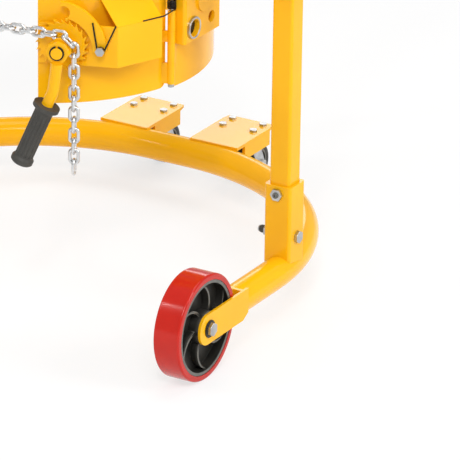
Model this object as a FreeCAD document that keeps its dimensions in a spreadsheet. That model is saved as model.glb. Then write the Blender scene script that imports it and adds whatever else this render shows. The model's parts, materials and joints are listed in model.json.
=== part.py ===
import FreeCAD, Part
import math
import os
import re
from types import SimpleNamespace

import Sketcher
from FreeCAD import Placement, Rotation, Vector

# Driving dimensions, millimetres and degrees. The load axis is vertical; "forward" is -Y, "left" is +X.
SIZES = {
    # load and holder shell
    "load_radius": 292, "shell_gap": 4.5, "shell_wall": 4.5,
    "saddle_bottom": 440, "saddle_top": 716, "wing_bottom": 445, "wing_top": 706,
    "wing_free_angle": 61.7, "wing_root_angle": 14.5, "saddle_edge_angle": 10.6, "wing_corner": 12,
    "root_corner": 14,
    # base hoop and wheel forks
    "hoop_radius": 481, "hoop_straight": 82, "hoop_centre": -8, "hoop_height": 97, "hoop_tube": 28.6,
    "hoop_wall": 3.6, "leg_end": 155, "axle_forward": 280, "axle_height": 99, "fork_half": 31.75,
    "fork_plate": 5, "fork_web": 7, "fork_height": 57, "fork_nose": 32, "fork_corner": 26,
    "fork_ear": 12, "ear_chamfer": 18, "ear_rise": 10,
    # front wheels
    "wheel_radius": 99, "wheel_width": 52, "tyre_depth": 11, "tyre_round": 4, "rim_depth": 6,
    "rim_inset": 1.5, "wheel_disc": 10, "boss_radius": 31, "boss_width": 53, "bearing_radius": 21,
    "rib_thick": 5, "rib_count": 6, "rib_inset": 5, "rib_root": 2, "rib_lean": 12, "rib_sweep": 38,
    "axle_radius": 6.5, "axle_washer": 2, "bearing_play": 0.04,
    # bolts, as shares of their own radius
    "bolt_flat": 1.75, "bolt_head": 1.1, "bolt_nut": 1.7, "bolt_tail": 4, "short_tail": 1,
    # posts and sockets
    "post_back": 42, "post_inset": 2.5, "post_side": 42, "post_wall": 3, "post_corner": 6,
    "post_foot": 137, "post_top": 880, "socket_wall": 5.8, "socket_play": 0.4, "socket_top": 262,
    "socket_bolt_high": 246, "socket_bolt_low": 160, "socket_bolt_tail": 14, "bolt_radius": 6,
    # rear casters and their brackets, set back from the hoop
    "caster_out": 101, "caster_behind": 109, "bracket_half": 53, "bracket_plate": 6,
    "bracket_behind": 142, "bracket_before": 4, "bracket_base": 124, "bracket_taper": 4,
    "bracket_taper_run": 20, "flange_behind": 26, "flange_depth": 28, "caster_bolt_dx": 34,
    "caster_bolt_dy": 19, "caster_bolt_radius": 4, "caster_plate_x": 44, "caster_plate_y": 34,
    "caster_plate": 5, "caster_radius": 40, "caster_width": 30, "caster_trail": 40, "caster_tyre": 10,
    "caster_axle": 5, "yoke_plate": 3, "yoke_gap": 2.7, "race_radius": 27, "race_height": 4,
    "race_play": 0.3, "crown_height": 8, "king_pin": 6, "king_nut": 5,
    # push handle
    "handle_tube": 16.7, "handle_wall": 2.6, "handle_bend": 110, "handle_high": 1040, "handle_back": 560,
    "handle_seat": 90, "handle_bolt": 40, "handle_corner": 90,
    "grip_out": 210, "grip_length": 150, "grip_wall": 4,
    # trunnion, tilt plates and tilt stop
    "pivot_high": 664, "pivot_radius": 16, "pivot_play": 0.05, "sleeve_wall": 8, "sleeve_length": 34,
    "pivot_plate": 8, "pivot_plate_half": 48, "pivot_bolt": 31, "collar": 4,
    "cheek_standoff": 25.5, "cheek_back": 60, "cheek_round": 6.5, "cheek_plate": 7, "cheek_bottom": 528,
    "cheek_top": 716, "cheek_boss_radius": 25, "cheek_boss_high": 599, "cheek_boss": 4, "cheek_clear": 0.8,
    "index_radius": 51, "index_angle": 32, "index_hole": 11,
    "lock_radius": 58.9, "lock_angle": 40.2, "lock_tube": 20.5, "lock_tube_wall": 3.7,
    "lock_tube_length": 12, "lock_pin": 11,
    # wing hinges
    "hinge_bottom": 454, "hinge_standoff": 12, "hinge_angle": 13.9, "hinge_barrel": 7.25, "hinge_pin": 3.7,
    "hinge_play": 0.05, "hinge_tab": 4.5, "tab_overlap": 1.5, "knuckle_tall": 39.5, "knuckle_short": 21.5,
    "knuckle_play": 0.4, "spring_space": 21, "hinge_wire": 1.1, "hinge_coils": 5.5,
    "hinge_spring_radius": 7.2, "hinge_leg_angle": 20.8, "hinge_leg_run": 55, "hinge_leg_rise": 1.6,
    "pin_head": 5.7, "pin_head_height": 6,
    # ratchet on the left wing, drawn in the plane of its bracket
    "ratchet_angle": 70, "bracket_standoff": 1.5, "bracket_thick": 5, "bracket_low": 524,
    "bracket_high": 600, "bracket_left": 46, "bracket_crease": 188, "bracket_side_angle": 23,
    "bracket_side": 97, "bracket_depth": 70, "hood_in": 62, "hood_up": 47,
    "shaft_across": 90, "shaft_high": 563.5, "shaft_radius": 10.5, "shaft_length": 58, "ring_width": 2.2,
    "ratchet_gap": 1.5, "ratchet_thick": 7, "ratchet_tip": 48.5, "ratchet_root": 40.5, "ratchet_teeth": 21,
    "ratchet_phase": 75.6, "tooth_run": 0.85, "tooth_hook": 0.7,
    "pawl_u": 69.5, "pawl_v": -4.5, "pawl_boss": 10.5, "pawl_bolt": 4.3, "throat_play": 1.4,
    "nose_turn": 8, "nose_depth": 5.5, "nose_point": 0.23, "nose_face": 0.13, "toe_angle": -9,
    "toe_play": 6.5, "claw_bend_angle": 42,
    "claw_crown_u": 58, "claw_crown_v": 50, "claw_top_u": -2, "claw_top_v": 80.5,
    "claw_tip_u": -4, "claw_tip_v": 70.5, "claw_hollow_u": 14, "claw_hollow_v": 61,
    "pawl_wire": 1.3, "pawl_spring_radius": 6.4, "pawl_coil_pitch": 3, "pawl_coils": 2,
    "claw_leg_u": 55, "claw_leg_v": 45.5, "plate_leg_u": 95, "plate_leg_v": 39,
    # chain, chain wheel and hand lever
    "chain_wire": 3.1, "chain_pitch": 20, "chain_width": 21.5, "pocket_count": 4, "chain_play": 0.3,
    "chain_plane": 31, "groove_play": 2.4, "chain_phase": 6.82, "tail_links": 11, "run_links": 22, "run_lift": 1,
    "sheave_width": 17, "sheave_reach": 23, "anchor_ear": 4,
    "lever_plane": 52.5, "lever_thick": 8, "lever_hub": 20, "lever_tube": 10.5, "lever_top": 19,
    "lever_drop": 72, "lever_bend_in": 6.5, "grip_lean": 23, "lever_neck": 28, "lever_grip_length": 122,
    "lever_grip_radius": 17, "lever_guard_radius": 24.5, "lever_foot_radius": 20.5, "grip_base": 8,
    "flute_count": 14, "flute_radius": 2.4, "flute_margin": 18,
}

# Sizes that follow from others: the holder's pieces from the load, the hoop's bends from its width and its
# straight back, and the casters from that back.
shell_reach = SIZES["load_radius"] + SIZES["shell_gap"] + SIZES["shell_wall"]
SIZES["bracket_face"] = shell_reach + SIZES["bracket_standoff"]
SIZES["cheek_face"] = shell_reach + SIZES["cheek_standoff"]
hinge_forward = (shell_reach + SIZES["hinge_standoff"]) * math.sin(math.radians(SIZES["hinge_angle"]))
spring_reach = SIZES["hinge_spring_radius"] + SIZES["hinge_wire"]
SIZES["cheek_front"] = hinge_forward - spring_reach - SIZES["cheek_clear"]
SIZES["hoop_bend"] = SIZES["hoop_radius"] - SIZES["hoop_straight"] / 2
hoop_back = SIZES["hoop_centre"] + SIZES["hoop_bend"]
SIZES["caster_back"] = hoop_back + SIZES["caster_behind"]
SIZES["bracket_end"] = hoop_back + SIZES["bracket_behind"]
SIZES["bracket_front"] = hoop_back - SIZES["bracket_before"]
SIZES["flange_front"] = hoop_back + SIZES["flange_behind"]
front_reach = SIZES["axle_forward"] + SIZES["wheel_radius"]
rear_reach = SIZES["caster_back"] + SIZES["caster_trail"] + SIZES["caster_radius"]
SIZES["load_y"] = (front_reach - rear_reach) / 2

doc = FreeCAD.newDocument("drum_trolley")
sheet = doc.addObject("Spreadsheet::Sheet", "Sizes")
for row, (alias, number) in enumerate(SIZES.items(), start=1):
    sheet.set(f"A{row}", alias)
    sheet.set(f"B{row}", str(number))
    sheet.setAlias(f"B{row}", alias)
doc.recompute()
size = SimpleNamespace(**{alias: float(sheet.get(alias)) for alias in SIZES})

UP = Vector(0, 0, 1)
ACROSS = Vector(1, 0, 0)
ALONG = Vector(0, 1, 0)
pieces = []


# Helpers: every size and place is bound to the sheet's cells.
def cells(expression):
    """Put the sheet's name before each alias in an expression."""
    return re.sub(r"[a-z][a-z_]*", lambda m: f"Sizes.{m[0]}" if m[0] in SIZES else m[0], str(expression))


def bind(thing, **expressions):
    for name, expression in expressions.items():
        thing.setExpression(name.replace("__", "."), cells(expression))
    return thing


def place(thing, x=0, y=0, z=0, turn=None):
    """Set a place measured from the load axis on the floor; turn is a Rotation."""
    if turn is not None:
        thing.Placement = Placement(Vector(), turn)
    return bind(thing, Placement__Base__x=x, Placement__Base__y=f"load_y + ({y})", Placement__Base__z=z)


def add(kind, name):
    return doc.addObject(kind, name)


def box(name, length, width, height, x, y, z):
    """A block given by its lowest corner."""
    return place(bind(add("Part::Box", name), Length=length, Width=width, Height=height), x, y, z)


def rod(name, radius, length, x, y, z, axis=UP):
    """A cylinder from its first end along an axis."""
    thing = bind(add("Part::Cylinder", name), Radius=radius, Height=length)
    return place(thing, x, y, z, Rotation(UP, axis))


def cut(name, base, *tools):
    thing = add("Part::Cut", name)
    thing.Base = base
    thing.Tool = tools[0] if len(tools) == 1 else fuse(name + "_tools", *tools)
    return thing


def fuse(name, *shapes):
    thing = add("Part::MultiFuse", name)
    thing.Shapes = list(shapes)
    return thing


def group(name, *links):
    """Several separate solids that share one node."""
    thing = add("Part::Compound", name)
    thing.Links = list(links)
    return thing


def mirrored(name, source):
    """The same piece on the other side of the middle plane."""
    thing = add("Part::Mirroring", name)
    thing.Source = source
    thing.Normal = ACROSS
    return thing


def rounded(name, source, radius, chosen):
    """Round the edges of a shape whose middle point passes the test."""
    doc.recompute()
    thing = add("Part::Fillet", name)
    thing.Base = source
    numbers = [i for i, e in enumerate(source.Shape.Edges, start=1) if chosen(e)]
    thing.Edges = [(i, radius, radius) for i in numbers]
    return thing


def edge_middle(edge):
    return edge.valueAt((edge.FirstParameter + edge.LastParameter) / 2)


def runs_along(edge, axis):
    ends = [vertex.Point for vertex in edge.Vertexes]
    return len(ends) == 2 and (ends[1] - ends[0]).cross(axis).Length < 1e-6


def solid(name, shape, at=None):
    """A shape built by Part's own functions, set back to the load axis or put in a given frame."""
    thing = add("Part::Feature", name)
    thing.Shape = shape
    thing.Placement = at if at is not None else Placement(Vector(0, size.load_y, 0), Rotation())
    return thing


def number_of(expression):
    """Work out an expression in a spare cell of the sheet."""
    sheet.set("D1", f"={expression}")
    sheet.recompute()
    return float(sheet.get("D1"))


def sketch(body, name, plane, points):
    """A closed outline whose corners are bound, one by one, to expressions."""
    outline = body.newObject("Sketcher::SketchObject", name)
    role = next(f for f in body.Origin.OriginFeatures if f.Role == plane)
    outline.AttachmentSupport = [(role, "")]
    outline.MapMode = "FlatFace"
    corners = [tuple(number_of(part) for part in point) for point in points]
    count = len(corners)
    for i, (u, v) in enumerate(corners):
        after = corners[(i + 1) % count]
        outline.addGeometry(Part.LineSegment(Vector(u, v, 0), Vector(after[0], after[1], 0)), False)
    for i in range(count):
        outline.addConstraint(Sketcher.Constraint("Coincident", i, 2, (i + 1) % count, 1))
    for i, point in enumerate(points):
        for kind, part, number, line in (("DistanceX", point[0], corners[i][0], -2),
                                         ("DistanceY", point[1], corners[i][1], -1)):
            if abs(number) < 1e-9:
                outline.addConstraint(Sketcher.Constraint("PointOnObject", i, 1, line))
            else:
                index = outline.addConstraint(Sketcher.Constraint(kind, -1, 1, i, 1, number))
                outline.setExpression(f"Constraints[{index}]", cells(part))
    return outline


def turned(name, points):
    """A body turned about its own X axis from a half profile of (along, radius) corners."""
    body = add("PartDesign::Body", name)
    outline = sketch(body, name + "_profile", "XY_Plane", points)
    turn = body.newObject("PartDesign::Revolution", name + "_turn")
    turn.Profile = outline
    turn.ReferenceAxis = (outline, ["H_Axis"])
    turn.Angle = 360
    body.Tip = turn
    return body


def plate(name, points, thickness):
    """A body padded up from a flat outline in its own XY plane."""
    body = add("PartDesign::Body", name)
    outline = sketch(body, name + "_outline", "XY_Plane", points)
    pad = body.newObject("PartDesign::Pad", name + "_pad")
    pad.Profile = outline
    bind(pad, Length=thickness)
    body.Tip = pad
    return body


def piece(label, thing):
    """Name a finished sub-part; its label names its file."""
    thing.Label = label
    pieces.append(thing)
    return thing


def pair(label, thing):
    """Keep a left-hand piece and its mirror image on the right."""
    piece("left_" + label, thing)
    piece("right_" + label, mirrored("right_" + label, thing))


def hex_bolt(start, axis, grip, radius, tail):
    """A hexagon bolt through a stack: head outside the start, nut and tail past the far face."""
    axis = Vector(axis).normalize()
    across = size.bolt_flat * radius
    head_height = size.bolt_head * radius
    nut_height = size.bolt_nut * radius
    head = hexagon(across, head_height, start - axis * head_height, axis)
    shank = Part.makeCylinder(radius, grip + nut_height + tail, start, axis)
    nut = hexagon(across, nut_height, start + axis * grip, axis)
    return head.fuse([shank, nut]).removeSplitter()


def hexagon(across, height, at, axis):
    """A six-sided prism across its flats, with its base at a point."""
    corner = across / math.cos(math.pi / 6)
    corners = [Vector(corner * math.cos(math.radians(60 * k)), corner * math.sin(math.radians(60 * k)), 0)
               for k in range(7)]
    prism = Part.Face(Part.makePolygon(corners)).extrude(Vector(0, 0, height))
    prism.Placement = Placement(Vector(at), Rotation(UP, Vector(axis)))
    return prism


# Base hoop: a horseshoe of round tube, open to the front, with a short straight back between two bends.
back_half = "(hoop_radius - hoop_bend)"
SIDES = (("left", 1), ("right", -1))


def hoop_solid(name, radius):
    runs = [rod(name + "_back", radius, f"2 * {back_half}", f"-{back_half}", "hoop_centre + hoop_bend",
                "hoop_height", ACROSS)]
    for side, sign in SIDES:
        bend = bind(add("Part::Torus", f"{name}_bend_{side}"), Radius1="hoop_bend", Radius2=radius)
        bend.Angle3 = 90
        start = Rotation(UP, 0 if sign > 0 else 90)
        runs.append(place(bend, f"{sign} * {back_half}", "hoop_centre", "hoop_height", start))
        runs.append(rod(f"{name}_leg_{side}", radius, "leg_end + hoop_centre", f"{sign} * hoop_radius",
                        "hoop_centre", "hoop_height", -ALONG))
    return fuse(name, *runs)


hoop_outside = hoop_solid("hoop_outside", "hoop_tube")
hoop_inside = hoop_solid("hoop_inside", "hoop_tube - hoop_wall")
piece("base_hoop", cut("base_hoop", hoop_outside, hoop_inside))

# Wheel forks: two plates and a web that closes the tube's end; the plates' ears run back beside the tube.
fork_x = "(hoop_radius + hoop_tube - fork_half)"
fork_in = "(fork_half - fork_plate)"
fork_long = "(axle_forward - leg_end + fork_nose)"
fork_block = plate("fork_block", [
    ("-fork_half", "fork_ear"), ("-fork_half", f"-{fork_long}"), (f"-{fork_in}", f"-{fork_long}"),
    (f"-{fork_in}", "-fork_web"), (fork_in, "-fork_web"), (fork_in, f"-{fork_long}"),
    ("fork_half", f"-{fork_long}"), ("fork_half", "fork_ear"), (fork_in, "fork_ear"), (fork_in, "0"),
    (f"-{fork_in}", "0"), (f"-{fork_in}", "fork_ear")], "fork_height")
place(fork_block, fork_x, "-leg_end", "axle_height - fork_height / 2")
fork_tip = size.load_y - size.axle_forward - size.fork_nose
fork_round = rounded("fork_round", fork_block, size.fork_corner,
                     lambda e: runs_along(e, ACROSS) and abs(edge_middle(e).y - fork_tip) < 1e-6)
axle_hole = rod("axle_hole", "axle_radius", "4 * fork_half", f"{fork_x} - 2 * fork_half", "-axle_forward",
                "axle_height", ACROSS)
ACROSS_PLATE = Rotation(ALONG, UP, ACROSS, "ZXY")
ear_line = [("fork_ear - ear_chamfer", "0"), ("fork_ear", "0"), ("fork_ear", "ear_rise")]
ear_corner = plate("ear_corner", ear_line, "2 * fork_half")
place(ear_corner, f"{fork_x} - fork_half", "-leg_end", "axle_height - fork_height / 2", ACROSS_PLATE)
pair("wheel_fork", cut("left_wheel_fork", fork_round, axle_hole, ear_corner, hoop_outside))

# Front wheels: a moulded tyre on a ribbed iron core, running on a bearing round a through bolt.
rim_out = "(wheel_radius - tyre_depth)"
rim_in = "(wheel_radius - tyre_depth - rim_depth)"
rim_half = "(wheel_width / 2 - rim_inset)"
tyre = turned("tyre_blank", [
    ("-wheel_width / 2", rim_out), ("wheel_width / 2", rim_out), ("wheel_width / 2", "wheel_radius"),
    ("-wheel_width / 2", "wheel_radius")])
place(tyre, fork_x, "-axle_forward", "axle_height")


def outer_rim(radius):
    """A test for the round edges that lie at or past a radius."""
    return lambda e: hasattr(e.Curve, "Radius") and e.Curve.Radius > radius - 1e-6


pair("wheel_tyre", rounded("left_wheel_tyre", tyre, size.tyre_round, outer_rim(size.wheel_radius)))

core = turned("core_blank", [
    ("-boss_width / 2", "bearing_radius"), ("boss_width / 2", "bearing_radius"),
    ("boss_width / 2", "boss_radius"), ("wheel_disc / 2", "boss_radius"), ("wheel_disc / 2", rim_in),
    (rim_half, rim_in), (rim_half, rim_out), (f"-{rim_half}", rim_out), (f"-{rim_half}", rim_in),
    ("-wheel_disc / 2", rim_in), ("-wheel_disc / 2", "boss_radius"), ("-boss_width / 2", "boss_radius")])
place(core, fork_x, "-axle_forward", "axle_height")


def wheel_rib(number):
    """One curved rib from the boss to the rim, on both sides of the disc."""
    inner = size.boss_radius - size.rib_root
    outer = size.wheel_radius - size.tyre_depth - size.rim_depth + size.rib_root
    stations = ((inner, 0), ((inner + outer) / 2, size.rib_lean), (outer, size.rib_sweep))
    half = size.wheel_width / 2 - size.rim_inset - size.rib_inset

    def edge(side):
        turns = [math.radians(360 / size.rib_count * number + a) + side * size.rib_thick / 2 / r
                 for r, a in stations]
        return [Vector(-half, r * math.cos(a), r * math.sin(a)) for (r, _), a in zip(stations, turns)]

    first, second = edge(-1), edge(1)
    sides = [Part.Arc(*first).toShape(), Part.LineSegment(first[2], second[2]).toShape(),
             Part.Arc(*second).toShape(), Part.LineSegment(second[0], first[0]).toShape()]
    face = Part.Face(Part.Wire(Part.__sortEdges__(sides)))
    return face.extrude(Vector(2 * half, 0, 0))


ribs = [wheel_rib(k) for k in range(int(size.rib_count))]
wheel_middle_x = number_of(fork_x)
wheel_at = Placement(Vector(wheel_middle_x, size.load_y - size.axle_forward, size.axle_height), Rotation())
rib_set = solid("rib_set", Part.makeCompound(ribs), wheel_at)
pair("wheel_core", fuse("left_wheel_core", core, rib_set))

bearing = turned("left_wheel_bearing", [
    ("-boss_width / 2", "axle_radius + bearing_play"), ("boss_width / 2", "axle_radius + bearing_play"),
    ("boss_width / 2", "bearing_radius"), ("-boss_width / 2", "bearing_radius")])
pair("wheel_bearing", place(bearing, fork_x, "-axle_forward", "axle_height"))


def axle_washer(x):
    """A plain washer on the axle, from its inner side outwards."""
    at = Vector(x, -size.axle_forward, size.axle_height)
    disc = Part.makeCylinder(2.2 * size.axle_radius, size.axle_washer, at, ACROSS)
    return disc.cut(Part.makeCylinder(size.axle_radius, size.axle_washer, at, ACROSS))


axle_half = size.fork_half + size.axle_washer
axle_start = Vector(wheel_middle_x + axle_half, -size.axle_forward, size.axle_height)
axle_bolt = hex_bolt(axle_start, -ACROSS, 2 * axle_half, size.axle_radius, size.bolt_tail)
washers = [axle_washer(wheel_middle_x + size.fork_half), axle_washer(wheel_middle_x - axle_half)]
pair("wheel_axle", solid("left_wheel_axle", Part.makeCompound([axle_bolt] + washers)))

# Posts stand in square sockets that are saddle-cut over the hoop and held by two cross bolts.
post_x = f"({back_half} + sqrt(hoop_bend^2 - (post_back - hoop_centre)^2) - post_inset)"
post_at = Vector(number_of(post_x), size.post_back, 0)
socket_side = "(post_side + 2 * socket_play + 2 * socket_wall)"
socket_half = number_of(socket_side) / 2
post_half = size.post_side / 2


def square_bar(name, side, corner, bottom, top):
    """A square bar with rounded corners on the post's axis."""
    block = box(name + "_block", side, side, f"{top} - ({bottom})", f"{post_x} - ({side}) / 2",
                f"post_back - ({side}) / 2", bottom)
    return rounded(name, block, corner, lambda e: runs_along(e, UP))


def cross_hole(name, z, axis):
    """A bolt hole right through the post and all that it carries."""
    reach = "(3 * post_side)"
    x = f"{post_x} - {reach} / 2" if axis is ACROSS else post_x
    y = f"post_back - {reach} / 2" if axis is ALONG else "post_back"
    return rod(name, "bolt_radius", reach, x, y, z, axis)


socket_holes = [cross_hole("socket_hole_high", "socket_bolt_high", ALONG),
                cross_hole("socket_hole_low", "socket_bolt_low", ACROSS)]
pivot_holes = [cross_hole("pivot_hole_high", "pivot_high + pivot_bolt", ACROSS),
               cross_hole("pivot_hole_low", "pivot_high - pivot_bolt", ACROSS)]
handle_hole = cross_hole("handle_hole", "post_top - handle_bolt", ALONG)

socket_out = square_bar("socket_out", socket_side, size.post_corner + size.socket_play, "hoop_height",
                        "socket_top")
socket_in = square_bar("socket_in", "post_side + 2 * socket_play", size.post_corner, "hoop_height",
                       "socket_top")
left_socket = cut("left_socket", socket_out, socket_in, hoop_outside, *socket_holes)
piece("post_sockets", group("post_sockets", left_socket, mirrored("right_socket", left_socket)))

post_out = square_bar("post_out", "post_side", size.post_corner, "post_foot", "post_top")
post_in = square_bar("post_in", "post_side - 2 * post_wall", size.post_corner - size.post_wall / 2,
                     "post_foot", "post_top")
pair("post", cut("left_post", post_out, post_in, *socket_holes, *pivot_holes, handle_hole))

# Pivot brackets: a plate bolted inside each post, with the sleeve that the trunnion turns in.
plate_in = f"({post_x} - post_side / 2 - pivot_plate)"
pivot_block = box("pivot_block", "pivot_plate", "pivot_plate_half + post_back + post_side / 2",
                  "2 * pivot_plate_half", plate_in, "-pivot_plate_half", "pivot_high - pivot_plate_half")
pivot_round = rounded("pivot_round", pivot_block, size.pivot_plate_half / 4, lambda e: runs_along(e, ACROSS))
pivot_sleeve = rod("pivot_sleeve", "pivot_radius + sleeve_wall", "sleeve_length",
                   f"{plate_in} + pivot_plate - sleeve_length", 0, "pivot_high", ACROSS)
pivot_bore = rod("pivot_bore", "pivot_radius + pivot_play", "2 * sleeve_length",
                 f"{plate_in} + pivot_plate - 1.5 * sleeve_length", 0, "pivot_high", ACROSS)
pair("pivot_bracket", cut("left_pivot_bracket", fuse("pivot_body", pivot_round, pivot_sleeve), pivot_bore,
                          *pivot_holes))

# Bolts of the posts, sockets, pivot brackets and push handle, as one group.
def post_bolt(height, axis, half, grip, tail):
    """A bolt through the post's axis, with its head on the side that the axis points to."""
    start = post_at + Vector(axis) * half + UP * height
    return hex_bolt(start, -Vector(axis), grip, size.bolt_radius, tail)


post_bolts = [
    post_bolt(size.socket_bolt_high, -ALONG, socket_half, 2 * socket_half, size.bolt_tail),
    post_bolt(size.socket_bolt_low, ACROSS, socket_half, 2 * socket_half, size.socket_bolt_tail),
    post_bolt(size.post_top - size.handle_bolt, ALONG, post_half, 2 * post_half, size.bolt_tail)]
for side in (-1, 1):
    post_bolts.append(post_bolt(size.pivot_high + side * size.pivot_bolt, ACROSS, post_half,
                                2 * post_half + size.pivot_plate, size.bolt_tail))
left_bolts = solid("left_bolts", Part.makeCompound(post_bolts))
piece("frame_bolts", group("frame_bolts", left_bolts, mirrored("right_bolts", left_bolts)))

# Push handle: one bow of round tube from post to post, bent back and across behind the load.
def bent_edges(corners, bends):
    """Straight runs between corners, joined by tangent arcs."""
    edges = []
    here = corners[0]
    for before, corner, after, bend in zip(corners, corners[1:], corners[2:], bends):
        come, go = (before - corner).normalize(), (after - corner).normalize()
        half = come.getAngle(go) / 2
        start, stop = corner + come * (bend / math.tan(half)), corner + go * (bend / math.tan(half))
        middle = corner + (come + go).normalize() * (bend / math.sin(half) - bend)
        edges += [Part.LineSegment(here, start).toShape(), Part.Arc(start, middle, stop).toShape()]
        here = stop
    edges.append(Part.LineSegment(here, corners[-1]).toShape())
    return edges


def swept(corners, bends, radius):
    """A round bar along bent runs."""
    ring = Part.Wire(Part.makeCircle(radius, corners[0], corners[1] - corners[0]))
    return Part.Wire(bent_edges(corners, bends)).makePipeShell([ring], True, False)


handle_foot = post_at + UP * (size.post_top - size.handle_seat)
handle_left = [handle_foot, post_at + UP * size.handle_high,
               Vector(post_at.x, size.handle_back, size.handle_high)]
handle_line = handle_left + [Vector(-p.x, p.y, p.z) for p in reversed(handle_left)]
handle_bends = [size.handle_bend, size.handle_corner, size.handle_corner, size.handle_bend]
handle_bar = swept(handle_line, handle_bends, size.handle_tube)
handle_core = swept(handle_line, handle_bends, size.handle_tube - size.handle_wall)
handle_tube = solid("handle_tube", handle_bar.cut(handle_core))
piece("push_handle", cut("push_handle", handle_tube, handle_hole, mirrored("handle_hole_right", handle_hole)))

grip_in = turned("grip_blank", [
    ("-grip_length / 2", "handle_tube"), ("grip_length / 2", "handle_tube"),
    ("grip_length / 2", "handle_tube + grip_wall"), ("-grip_length / 2", "handle_tube + grip_wall")])
place(grip_in, "grip_out", "handle_back", "handle_high")
left_grip = rounded("left_push_grip", grip_in, size.grip_wall * 0.6,
                    outer_rim(size.handle_tube + size.grip_wall))
piece("push_grips", group("push_grips", left_grip, mirrored("right_push_grip", left_grip)))

# Caster brackets: flanged plates seated over the back of the hoop.
bracket_top = plate("bracket_top", [
    ("-bracket_half", "bracket_front"), ("bracket_half", "bracket_front"),
    ("bracket_half", "bracket_end - bracket_taper_run"), ("bracket_half - bracket_taper", "bracket_end"),
    ("bracket_taper - bracket_half", "bracket_end"), ("-bracket_half", "bracket_end - bracket_taper_run")],
    "bracket_plate")
place(bracket_top, "caster_out", 0, "bracket_base")
bracket_flanges = [box(f"bracket_flange_{name}", "bracket_plate",
                       "bracket_end - bracket_taper_run - flange_front", "flange_depth",
                       f"caster_out + {edge}", "flange_front", "bracket_base - flange_depth")
                   for name, edge in (("out", "bracket_half - bracket_plate"), ("in", "(0 - bracket_half)"))]
caster_at = Vector(size.caster_out, size.caster_back, 0)
caster_bolt_spots = [caster_at + Vector(i * size.caster_bolt_dx, j * size.caster_bolt_dy, 0)
                     for i in (-1, 1) for j in (-1, 1)]
caster_top = size.bracket_base + size.bracket_plate
caster_holes = [rod(f"caster_hole_{i}{j}".replace("-", "m"), "caster_bolt_radius", "4 * bracket_plate",
                    f"caster_out + {i} * caster_bolt_dx", f"caster_back + {j} * caster_bolt_dy",
                    "bracket_base - 2 * bracket_plate") for i in (-1, 1) for j in (-1, 1)]
left_bracket = cut("left_bracket", fuse("bracket_body", bracket_top, *bracket_flanges), hoop_outside,
                   *caster_holes)
piece("caster_brackets", group("caster_brackets", left_bracket, mirrored("right_bracket", left_bracket)))

# Casters: a bolted head plate with its king pin, a swivelling yoke, and a wheel on its own axle.
head_base = "(bracket_base - caster_plate)"
race_base = f"({head_base} - race_height)"
crown_base = f"({race_base} - race_play - crown_height)"
head_plate = box("head_plate", "2 * caster_plate_x", "2 * caster_plate_y", "caster_plate",
                 "caster_out - caster_plate_x", "caster_back - caster_plate_y", head_base)
head_round = rounded("head_round", head_plate, size.caster_plate * 1.6, lambda e: runs_along(e, UP))
head_race = rod("head_race", "race_radius", "race_height", "caster_out", "caster_back", race_base)
nut_base = f"({crown_base} - race_play - king_nut)"
king_pin = rod("king_pin", "king_pin", f"{head_base} - {nut_base}", "caster_out", "caster_back", nut_base)
king_nut = rod("king_nut", "1.8 * king_pin", "king_nut", "caster_out", "caster_back", nut_base)
pair("caster_head", cut("left_caster_head", fuse("head_body", head_round, head_race, king_pin, king_nut),
                        *caster_holes))

crown = rod("crown", "race_radius", "crown_height", "caster_out", "caster_back", crown_base)
crown_bore = rod("crown_bore", "king_pin + pivot_play", "3 * crown_height", "caster_out", "caster_back",
                 f"{crown_base} - crown_height")
leg_in = "(caster_width / 2 + yoke_gap)"
leg_outline = [("-race_radius * 0.6", crown_base), ("race_radius * 0.8", crown_base),
               ("caster_trail + caster_axle * 2.2", "caster_radius + caster_axle"),
               ("caster_trail + caster_axle * 1.6", "caster_radius - caster_axle * 1.8"),
               ("caster_trail - caster_axle * 1.6", "caster_radius - caster_axle * 1.8"),
               ("caster_trail - caster_axle * 3.2", "caster_radius + caster_axle")]
legs = []
for name, x in (("out", f"caster_out + {leg_in}"), ("in", f"caster_out - {leg_in} - yoke_plate")):
    leg = plate(f"yoke_leg_{name}", leg_outline, "yoke_plate")
    legs.append(place(leg, x, "caster_back", 0, ACROSS_PLATE))
bridge = box("yoke_bridge", f"2 * {leg_in} + 2 * yoke_plate", "race_radius * 1.4", "crown_height",
             f"caster_out - {leg_in} - yoke_plate", "caster_back - race_radius * 0.6", crown_base)
caster_axle_hole = rod("caster_axle_hole", "caster_axle", "4 * caster_width", "caster_out - 2 * caster_width",
                       "caster_back + caster_trail", "caster_radius", ACROSS)
pair("caster_yoke", cut("left_caster_yoke", fuse("yoke_body", crown, bridge, *legs), crown_bore,
                        caster_axle_hole))

yoke_half = size.caster_width / 2 + size.yoke_gap + size.yoke_plate
caster_axle_at = caster_at + Vector(yoke_half, size.caster_trail, size.caster_radius)
caster_pin = hex_bolt(caster_axle_at, -ACROSS, 2 * yoke_half, size.caster_axle, size.short_tail)
pair("caster_axle", solid("left_caster_axle", caster_pin))

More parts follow.
